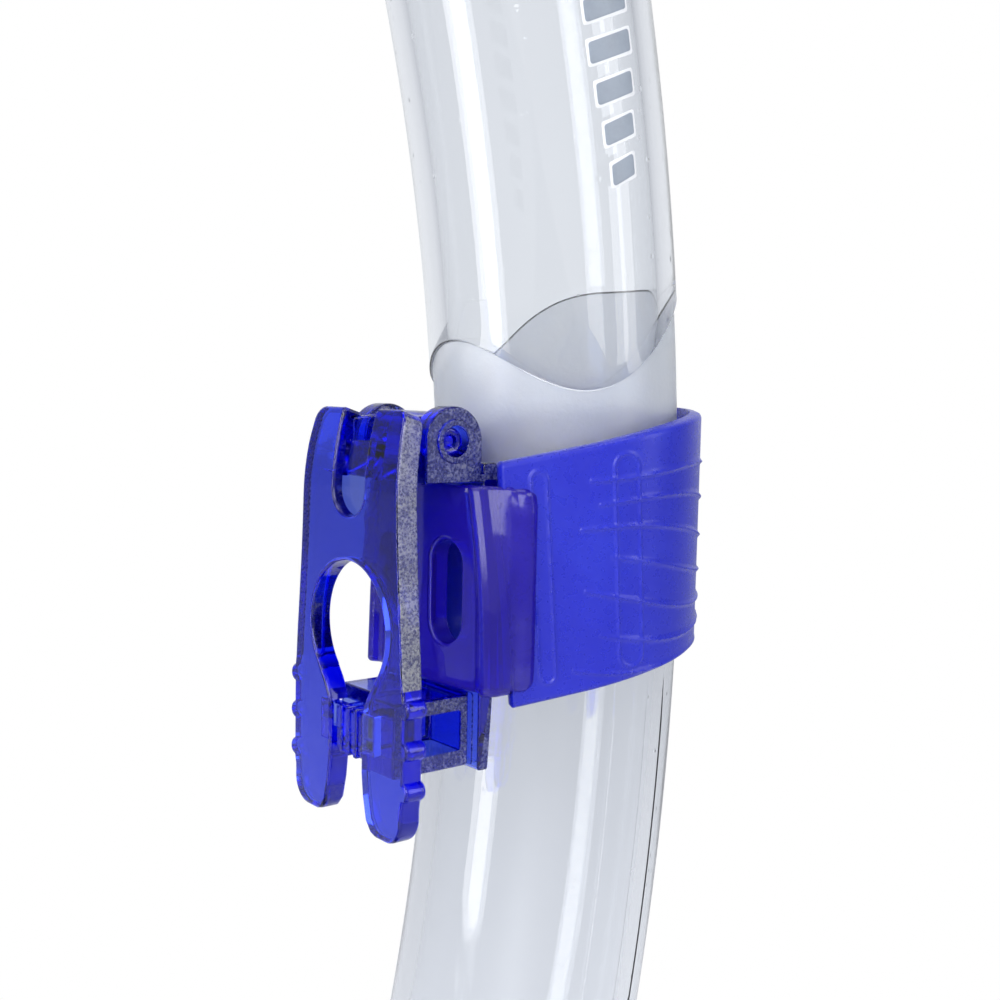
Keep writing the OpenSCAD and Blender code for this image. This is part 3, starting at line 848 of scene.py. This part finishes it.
# ---------------------------------------------------------------- gate
def make_gate():
    right = arc(0, 8.9, 2.5, -90, 0, 10) + [(2.5, 12), (2.6, 15.9), (2.9, 16.2)]
    right += arc(5.95, 14.7, 1.5, 90, 8, 8)
    right += [(7.7, 12.8), (7.86, 10.4), (7.97, 8), (8.1, 5), (8.25, 2.4), (8.6, -2), (8.87, -5),
              (9.08, -8.0)]
    for z in (-9.64, -13.27, -16.9):
        right += arc(9.05, z, 0.88, 80, -80, 10)
    right += [(9.0, -18.6)] + arc(6.6, -19.6, 2.4, 0, -90, 10)
    right += [(5.0, -22.0), (4.2, -21.75), (3.4, -20.8), (2.85, -18.6), (2.6, -16.6), (2.6, -11.6),
              (2.9, -10.4), (3.6, -9.2), (4.3, -8.3)] + arc(0, -3.8, 6.1, -43, 90, 30)
    loop = right + [(-x, y) for x, y in reversed(right[1:-1])]
    gate = plate("clip_gate", [loop], 2.2, 0.36, FACE, steps=3, at=24.1)
    floor = rounded([(-2.9, 6), (2.9, 6), (2.9, 13.4), (-2.9, 13.4)], 0.3, 2)
    floor = plate("slot_floor", [floor], 1.2, 0.05, FACE, 1, at=23.62)
    for ob in (gate, floor):
        cuts_at(ob, (0, 0, 1), [8 + 0.5 * i for i in range(17)])

    def curl(c):
        if c.z <= 8:
            return c
        a = math.asin(min(1, (c.z - 8) / 27))
        rho = TX - c.x + 1.8
        return Vector((TX - (-1.8 + rho * math.cos(a)), c.y, 8 + rho * math.sin(a)))

    reshape(gate, curl)
    reshape(floor, curl)
    barrel = lathe("barrel", [(1.36, -3.9), (2.35, -3.9), (2.6, -3.65), (2.6, 3.65), (2.35, 3.9), (1.36, 3.9)],
                   PIN, 64)
    parts = [gate, floor, barrel]
    for side in (-1, 1):
        web = rounded([(18.4, 11.6), (23.2, 9.6), (23.0, 15.2), (18.6, 15.6)], 0.3, 3)
        parts.append(plate("web", [web], 1.4, 0.2, SIDE, at=side * 3.2))
    gate = combine(parts)
    clear = [plate("hole", [circle(*HINGE, 1.37, 40)], 20, 0.02, SIDE, steps=1)]
    clear.append(block("wing_room", (21.8, -4.5, -14.9), (24.8, 4.5, -11.1), 0.2, CLIP))
    for side in (-1, 1):
        clear.append(plate("lug_room", [circle(*HINGE, 3.35, 64)], 6, 0.02, SIDE, steps=1, at=side * 7.0))
    ob = cut(gate, *clear)
    ob.name = "clip_gate_moulded"

    # side faces given the spark texture and its painted glints
    def spark(p):
        return 1 if abs(p.normal.y) > 0.8 and abs(p.center.y) > 6.8 and p.center.z > -8.2 else 0

    finish_piece(ob, "gate", [HARD, EDGE], ["clip_gate"], sharp=34, pick=spark)


make_gate()


# ---------------------------------------------------------------- flexible hose
def make_hose():
    """Smooth cuffs at both ends and a corrugated bend between them."""
    seg, stations = 96, []
    bend_len = 52 * math.radians(72)
    cuff, cuff_r, cuff_bore = 13.8, 14.8, 12.56

    def frame_at(s):                       # s from the bent part's start, minus is up the tube
        if s < 0:
            return on_bend(-20 + -s / DEG)
        if s > bend_len:
            return MOUTH @ move(0, 0, -(s - bend_len))
        return on_hose(72 * s / bend_len)

    def outer(s):
        if s < 0 or s > bend_len:
            return cuff_r
        wave = (0.5 - 0.5 * math.cos(2 * math.pi * s / (bend_len / 15))) ** 0.7
        k = min(1, min(s, bend_len - s) / 1.2)
        return cuff_r * (1 - k) + k * (13.1 + 2.1 * wave)

    def inner(s):
        if s < 0 or s > bend_len:
            return cuff_bore
        k = min(1, min(s, bend_len - s) / 0.6)
        return cuff_bore * (1 - k) + k * 10.8

    fine = [*np.arange(-13.0, 0, 1.0), *np.arange(0, bend_len, 0.33),
            *np.arange(bend_len + 0.3, bend_len + 13.0, 1.0)]
    for d, r in ((0.0, -0.5), (0.15, -0.15), (0.5, 0.0)):
        stations.append((-cuff + d, cuff_r + r))
    stations += [(s, outer(s)) for s in fine]
    for d, r in ((0.5, 0.0), (0.15, -0.15), (0.0, -0.5)):
        stations.append((bend_len + cuff - d, cuff_r + r))
    for d, r in ((0.0, 0.3), (0.3, 0.0)):
        stations.append((bend_len + cuff - d, cuff_bore + r))
    stations += [(s, inner(s)) for s in reversed(fine)]
    for d, r in ((0.3, 0.0), (0.0, 0.3)):
        stations.append((-cuff + d, cuff_bore + r))
    rings = []
    for s, r in stations:
        f = frame_at(s)
        rings.append([f @ Vector((r * math.cos(2 * math.pi * k / seg), r * math.sin(2 * math.pi * k / seg), 0))
                      for k in range(seg)])
    ob = loft("flex_hose_corrugated", rings)
    ob = finish_piece(ob, None, [SIL_BLUE], ["flex_hose"], sharp=45, weighted=False)
    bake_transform(ob)


make_hose()


def grip_ring(name, frame, body, node):
    """Clamp ring with rounded edges and fine grip flutes."""
    profile = rounded([(14.87, 0), (16.4, 0), (16.4, 5), (14.87, 5)], 0.45, 4)
    ob = lathe(name, profile, frame, 320,
               shape=lambda a, r, z: r - 0.16 * (0.5 + 0.5 * math.cos(a * 40)) if r > 16.0 else r)
    finish_piece(ob, body, [DARK], [node], sharp=50)


grip_ring("hose_ring_upper_fluted", on_bend(-20 + 1.2) @ move(0, 0, -0.05), "tube", "hose_ring_upper")
grip_ring("hose_ring_lower_fluted", MOUTH @ move(0, 0, -9.5), "mouth_end", "hose_ring_lower")


# ---------------------------------------------------------------- purge chamber
def make_chamber():
    body = [(0, -58), (10.0, -58), (10.4, -57.6), (10.4, -48.6), (10.9, -48), (11.6, -48), (12.4, -47.6),
            (14.9, -44.6), (15.2, -43.8), (15.2, -14.6), (14.9, -14.15), (12.7, -14), (12.5, -13.8),
            (12.5, -0.4), (12.1, 0), (0, 0)]
    barrel = lathe("purge_chamber_clear", body, MOUTH, 120, closed=False)
    boss = lathe("boss", [(0, 0), (14.5, 0), (14.5, 20.5), (14.1, 21), (0, 21)], PURGE, 120, closed=False)
    bores = [lathe("bore", [(0, 1), (10.9, 1), (10.9, -16), (13, -16.6), (13, -42.4), (12.4, -43),
                            (8.8, -43.4), (8.4, -44.2), (8.4, -59), (0, -59)], MOUTH, 120, closed=False),
             lathe("purge_bore", [(0, 0), (11, 0), (11, 17), (12.6, 17), (12.6, 22), (0, 22)], PURGE, 120,
                   closed=False)]
    ob = cut(combine([barrel, boss]), *bores)
    ob.name = "purge_chamber_clear"
    finish_piece(ob, "mouth_end", [CLEAR], ["purge_chamber"], sharp=30)


make_chamber()


def make_cover():
    outer = rounded([(14.62, 15.5), (16.3, 15.5), (16.3, 22.6), (14.4, 24.4), (8, 25.0), (3.4, 25.0),
                     (2.4, 24.6), (0, 24.6)], [0.3, 0.35, 1.4, 1.2, 0.6, 0.3, 0.3, 0], 5, closed=False)
    inner = [(0, 23.2), (13.6, 23.2), (14.4, 22.6), (14.62, 21.6)]

    def flutes(a, r, z):
        return r - (0.22 * (0.5 + 0.5 * math.cos(a * 36)) if r > 16.0 and z < 22 else 0)

    cover = lathe("purge_cover", outer + inner + outer[:1], PURGE, 144, closed=False, shape=flutes)
    tools = [plate("slot", [pill(0, 6.6, 11.2, 1.5)], 8, 0.05, PURGE @ turn(45 * k, "Z"), steps=1, at=23.5)
             for k in range(8)]
    ob = cut(cover, *tools)
    ob.name = "purge_cover_slotted"
    finish_piece(ob, "mouth_end", [HARD], ["purge_cover"], sharp=34)


make_cover()


# ---------------------------------------------------------------- mouthpiece
def oval(a, b, power, z, seg=112, bow=0.0):
    """Ring with half sizes a (along x) and b (along y); bow bends it back with y."""
    out = []
    for k in range(seg):
        t = 2 * math.pi * k / seg
        c, s = math.cos(t), math.sin(t)
        x = a * math.copysign(abs(c) ** (2 / power), c)
        y = b * math.copysign(abs(s) ** (2 / power), s)
        out.append((x, y, z - bow * y * y))
    return out


def make_mouthpiece():
    b = 0.0052
    rings = [oval(12.7, 12.7, 2, -48.45), oval(13.1, 13.1, 2, -48.6), oval(13.2, 13.2, 2, -49),
             oval(13.2, 13.2, 2, -51.6), oval(13.0, 13.0, 2, -51.9), oval(13.0, 13.0, 2, -57.2),
             oval(13.3, 13.3, 2, -57.6), oval(13.3, 13.3, 2, -58.6), oval(12.9, 13.0, 2, -60)]
    for f in (0.15, 0.3, 0.45, 0.6, 0.75, 0.88):
        e = f * f * (3 - 2 * f)
        rings.append(oval(12.9 - 3.3 * e, 13.0 + 3.6 * e, 2 + 0.3 * e, -60 - 10 * f))
    rings += [oval(9.7, 16.8, 2.3, -69.6, bow=b * 0.4), oval(10.3, 17.6, 2.3, -70.5, bow=b * 0.8),
              oval(11.8, 19.8, 2.3, -71.0, bow=b), oval(14, 25, 2.35, -71.0, bow=b),
              oval(15.9, 30, 2.4, -71.05, bow=b), oval(16.4, 30.8, 2.4, -71.4, bow=b),
              oval(16.5, 31, 2.4, -72.0, bow=b), oval(16.3, 30.7, 2.4, -72.7, bow=b),
              oval(15.7, 29.8, 2.4, -73.0, bow=b), oval(13, 24, 2.35, -73.0, bow=b),
              oval(9.6, 17.4, 2.3, -73.1, bow=b), oval(8.7, 15.9, 2.3, -73.6, bow=b * 0.8),
              oval(8.4, 15.4, 2.3, -75.0, bow=b * 0.4), oval(8.4, 15.3, 2.3, -79.4),
              oval(8.1, 15.0, 2.3, -79.9), oval(7.6, 14.5, 2.3, -80.0), oval(6.4, 12.8, 2.3, -80.0),
              oval(6.0, 12.4, 2.3, -79.7), oval(6.0, 12.4, 2.3, -71.5)]
    for f in (0.25, 0.5, 0.75, 1.0):
        rings.append(oval(6.0 + 2.2 * f, 12.4 - 4.2 * f, 2.3 - 0.3 * f, -71.5 + 8.5 * f))
    rings += [oval(8.2, 8.2, 2, -58.7), oval(10.45, 10.45, 2, -58.5), oval(10.45, 10.45, 2, -48.8),
              oval(10.8, 10.8, 2, -48.45)]
    body = loft("mouthpiece", rings, MOUTH)
    parts = [body]
    for side in (-1, 1):
        y = side * 17.0
        parts.append(block("stalk", (-4.2, y - 3.9, -90), (4.2, y + 3.9, -72.6), 1.2, MOUTH, 3))
        tab = rounded([(-7.3, y - 4), (7.4, y - 4), (7.4, y + 4), (-7.3, y + 4)], 2.2, 6)
        parts.append(plate("tab", [tab], 2.6, 1.1, MOUTH, 3, at=-89.7))
        for x in (-5.4, 5.6):
            parts.append(block("grip", (x - 0.5, y - 2.8, -88.7), (x + 0.5, y + 2.8, -88.0), 0.25, MOUTH))
    ob = combine(parts)
    ob.name = "mouthpiece_moulded"
    finish_piece(ob, "mouth_end", [SIL_BLUE], ["mouthpiece"], sharp=50)


make_mouthpiece()


def make_tie():
    profile = rounded([(13.27, -57), (14.4, -57), (14.4, -52.4), (13.27, -52.4)], 0.35, 4)
    band = lathe("tie", profile, MOUTH, 160,
                 shape=lambda a, r, z: r + (0.10 * math.cos(a * 80) if r > 14.2 else 0))
    head = block("head", (-17, -2.9, -57.4), (-13.8, 2.9, -52.0), 0.5, MOUTH, 3)
    tail = block("tail", (-16.2, 2.4, -56.2), (-14.9, 4.2, -53.2), 0.4, MOUTH, 3)
    ob = combine([band, combine([head, tail])], least=500)
    ob.name = "mouthpiece_tie_ratchet"
    finish_piece(ob, "mouth_end", [SIL_BLACK], ["mouthpiece_tie"], sharp=45)


make_tie()


# ---------------------------------------------------------------- top valve housing
def outline(inset, steps=40):
    phi = math.degrees(math.acos(4 / 17))
    return arc(17, 0, 14 - inset, -phi, phi, steps) + arc(0, 0, 18 - inset, phi, 360 - phi, steps * 2)


def levels(pairs):
    """Housing outlines for a loft, one for each (inset, z)."""
    return [[(x, y, z) for x, y in outline(inset)] for inset, z in pairs]


def make_base():
    def flutes(a, r, z):
        return r - (0.25 * (0.5 + 0.5 * math.cos(a * 24)) if r > 14.9 and -14 < z else 0)

    socket = rounded([(12.58, -15), (15, -15), (15, 0.4), (12.58, 0.4)], [0.3, 0.6, 0, 0], 4)
    parts = [lathe("socket", socket, TOP, 120, shape=flutes)]
    parts.append(plate("floor", [outline(0), circle(0, 0, 9.5, 96)], 2.5, 0.4, TOP, 3, at=1.25))
    duct = rounded([(9.5, 0.2), (11.3, 0.2), (11.3, 18), (9.5, 18)], [0, 0, 0.6, 0.6], 4)
    parts.append(lathe("duct", duct, TOP, 120))
    parts.append(lathe("fillet", [(11.2, 2.2), (12.6, 2.2), (12.6, 2.5), (11.8, 2.9), (11.2, 3.9)], TOP, 120))
    across = TOP @ turn(90, "X")            # drawn in x, z of the top; thickness along -y
    for side in (-1, 1):
        post = rounded([(12.3, 0.5), (16.7, 0.5), (16.7, 21.5), (15.9, 23.2), (13.1, 23.2), (12.3, 21.5)],
                       [0, 0, 0.8, 0.8, 0.8, 0.8], 4)
        parts.append(plate("post", [post, circle(14.5, 21, 1.03, 28)], 2.0, 0.25, across, at=side * 6.4))
    ob = combine(parts)
    ob.name = "top_base_duct"
    finish_piece(ob, "tube", [HARD], ["top_base"], sharp=34)


make_base()


def make_cage():
    wall = 1.8
    rings = levels([(0.35, 2.52), (0.1, 2.62), (0.0, 2.9)] + [(0, z) for z in np.linspace(5, 35.5, 8)] +
                   [(0.0, 37.6), (0.1, 37.85), (0.35, 37.98), (wall - 0.3, 37.98), (wall, 37.7)] +
                   [(wall, z) for z in np.linspace(35, 5, 6)] + [(wall, 2.8), (wall - 0.3, 2.52)])
    cage = loft("cage", rings, TOP)
    tools = []
    for a in range(100, 261, 20):
        f = TOP @ turn(a, "Z") @ turn(90, "Y") @ turn(90, "Z")
        tools.append(plate("slot", [pill(0, 9.6, 28.4, 1.6)], 6, 0.05, f, 1, at=17))
    for a in range(-60, 61, 24):
        f = TOP @ move(17, 0, 0) @ turn(a, "Z") @ turn(90, "Y") @ turn(90, "Z")
        tools.append(plate("slot", [pill(0, 9.4, 20.6, 1.4)], 6, 0.05, f, 1, at=13))
    ob = cut(cage, *tools)
    # a raised band round the housing, above the slots
    belt = [(0.2, 32.0), (-0.15, 32.2), (-0.35, 32.6), (-0.35, 34.2), (-0.15, 34.6), (0.2, 34.8)]
    ob = combine([ob, loft("belt", levels(belt), TOP)])
    ob.name = "top_cage_slotted"
    finish_piece(ob, "tube", [HARD], ["top_cage"], sharp=34)


make_cage()


def make_cap():
    steps = [(3.2, 35.5), (1.95, 35.5), (1.95, 38.0), (0.5, 38.02), (0.1, 38.2), (0.0, 38.6), (0.15, 39.3),
             (0.6, 39.8), (1.4, 40.05), (2.9, 40.15), (3.3, 40.2), (3.5, 40.4), (3.7, 41.0), (4.2, 41.35),
             (5.5, 41.5), (8.4, 41.45), (8.8, 41.3), (9.2, 41.3), (9.6, 41.45), (10.4, 41.5), (13.0, 41.5)]
    middle = [[(x * 0.2 + 3.5, y * 0.2, z) for x, y in outline(13.0)] for z in (41.5, 38.0)]
    rings = levels(steps) + middle + levels([(5.0, 38.0), (3.3, 37.8)])
    seg, top = len(rings[0]), len(steps)
    faces = []
    for i in range(len(rings)):
        if i != top:                     # the two middle rings are closed with caps instead
            faces += strip(i, (i + 1) % len(rings), seg)
    faces += [tuple(n * seg + k for k in range(seg)) for n in (top, top + 1)]
    verts = [v for ring in rings for v in ring]
    ob = solid("top_cap_stepped", verts, faces, TOP)
    finish_piece(ob, "tube", [DARK], ["top_cap"], sharp=34)


make_cap()


# ---------------------------------------------------------------- studio
def studio_floor():
    """Plain floor: white to the camera, a softer grey in what the clear parts refract."""
    k = Nodes("studio_floor_white")
    k.set(Roughness=0.6)
    soft = k.noise(3, 2)
    k.link(k.ramp(soft, [(0.3, (0.77, 0.78, 0.80)), (0.7, (0.80, 0.81, 0.83))]), k.bsdf.inputs["Base Color"])
    glow = k.add("ShaderNodeEmission")
    glow.inputs["Strength"].default_value = 1.0
    mix = k.add("ShaderNodeMixShader")
    k.link(k.add("ShaderNodeLightPath").outputs["Is Camera Ray"], mix.inputs[0])
    k.link(k.bsdf.outputs[0], mix.inputs[1])
    k.link(glow.outputs[0], mix.inputs[2])
    k.link(mix.outputs[0], k.out.inputs["Surface"])
    z = -0.206                # below the mouthpiece when the hose hangs straight
    me = bpy.data.meshes.new("studio_floor")
    me.from_pydata([(-4, -4, z), (4, -4, z), (4, 4, z), (-4, 4, z)], [], [(0, 1, 2, 3)])
    me.materials.append(k.mat)
    ob = link("studio_floor", me)


studio_floor()


def area(name, place, target, size, power):
    light = bpy.data.lights.new(name, "AREA")
    light.shape, light.size, light.size_y = "RECTANGLE", size[0], size[1]
    light.energy = power
    ob = link(name, light)
    ob.location = place
    ob.rotation_euler = (Vector(target) - Vector(place)).to_track_quat("-Z", "Y").to_euler()


CAM = Vector((-0.06744, -0.09866, 0.01860))
LOOK = Vector((0.62689, 0.77388, -0.09010)).normalized()
RIGHT = LOOK.cross(Vector((0, 0, 1))).normalized()
UP = RIGHT.cross(LOOK)
roll = math.radians(1.20)
RIGHT, UP = RIGHT * math.cos(roll) + UP * math.sin(roll), UP * math.cos(roll) - RIGHT * math.sin(roll)


def around(right, up, ahead):
    """A place given from the clip, as the camera sees it, in metres."""
    flat = Vector((LOOK.x, LOOK.y, 0)).normalized()
    side = flat.cross(Vector((0, 0, 1)))
    return Vector((0.02, 0, 0)) + side * right + Vector((0, 0, up)) + flat * ahead


TUBE_MIDDLE = (0.02, 0, 0)
for name, place, size, power in (("soft_left", (-0.55, 0.25, -0.35), (0.28, 0.9), 3.0),
                                 ("soft_right", (0.75, 0.35, -0.25), (0.22, 0.8), 1.6),
                                 ("soft_top", (0.0, 0.9, 0.0), (0.7, 0.7), 3.0),
                                 ("soft_front", (-0.15, 0.35, -0.9), (0.6, 0.6), 5.0)):
    area(name, around(*place), TUBE_MIDDLE, size, power)


def make_world():
    w = bpy.data.worlds.new("studio")
    bpy.context.scene.world = w
    w.use_nodes = True
    t = w.node_tree
    bg = t.nodes["Background"]
    coord = t.nodes.new("ShaderNodeTexCoord")
    path = t.nodes.new("ShaderNodeLightPath")
    # brighter straight behind the object, greyer to the sides
    dot = t.nodes.new("ShaderNodeVectorMath")
    dot.operation = "DOT_PRODUCT"
    dot.inputs[1].default_value = Vector((LOOK.x, LOOK.y, 0)).normalized()
    t.links.new(coord.outputs["Generated"], dot.inputs[0])
    ramp = t.nodes.new("ShaderNodeValToRGB")
    stops = [(0.0, (0.72, 0.73, 0.76)), (0.34, (0.52, 0.54, 0.58)), (0.52, (0.26, 0.27, 0.31)),
             (0.68, (0.34, 0.36, 0.40)), (0.87, (0.76, 0.78, 0.82)), (1.0, (0.84, 0.86, 0.89))]
    fill_ramp(ramp, stops)
    half = t.nodes.new("ShaderNodeMapRange")
    half.inputs[1].default_value, half.inputs[2].default_value = -1, 1
    t.links.new(dot.outputs["Value"], half.inputs[0])
    t.links.new(half.outputs[0], ramp.inputs[0])
    mix = t.nodes.new("ShaderNodeMix")
    mix.data_type = "RGBA"
    t.links.new(path.outputs["Is Camera Ray"], mix.inputs[0])
    t.links.new(ramp.outputs[0], mix.inputs[6])
    mix.inputs[7].default_value = (1, 1, 1, 1)
    t.links.new(mix.outputs[2], bg.inputs["Color"])
    bg.inputs["Strength"].default_value = 1.0


make_world()

cam = bpy.data.cameras.new("camera")
cam.sensor_width, cam.lens, cam.clip_start = 36.0, 46.56, 0.005
ob = link("camera", cam)
ob.matrix_world = Matrix(((RIGHT.x, UP.x, -LOOK.x, CAM.x), (RIGHT.y, UP.y, -LOOK.y, CAM.y),
                          (RIGHT.z, UP.z, -LOOK.z, CAM.z), (0, 0, 0, 1)))
bpy.context.scene.camera = ob

scene = bpy.context.scene
scene.view_settings.view_transform = "Standard"
scene.cycles.max_bounces = 20
scene.cycles.transmission_bounces = 20
scene.cycles.transparent_max_bounces = 12
scene.cycles.glossy_bounces = 6
scene.cycles.diffuse_bounces = 4
scene.cycles.caustics_reflective = False
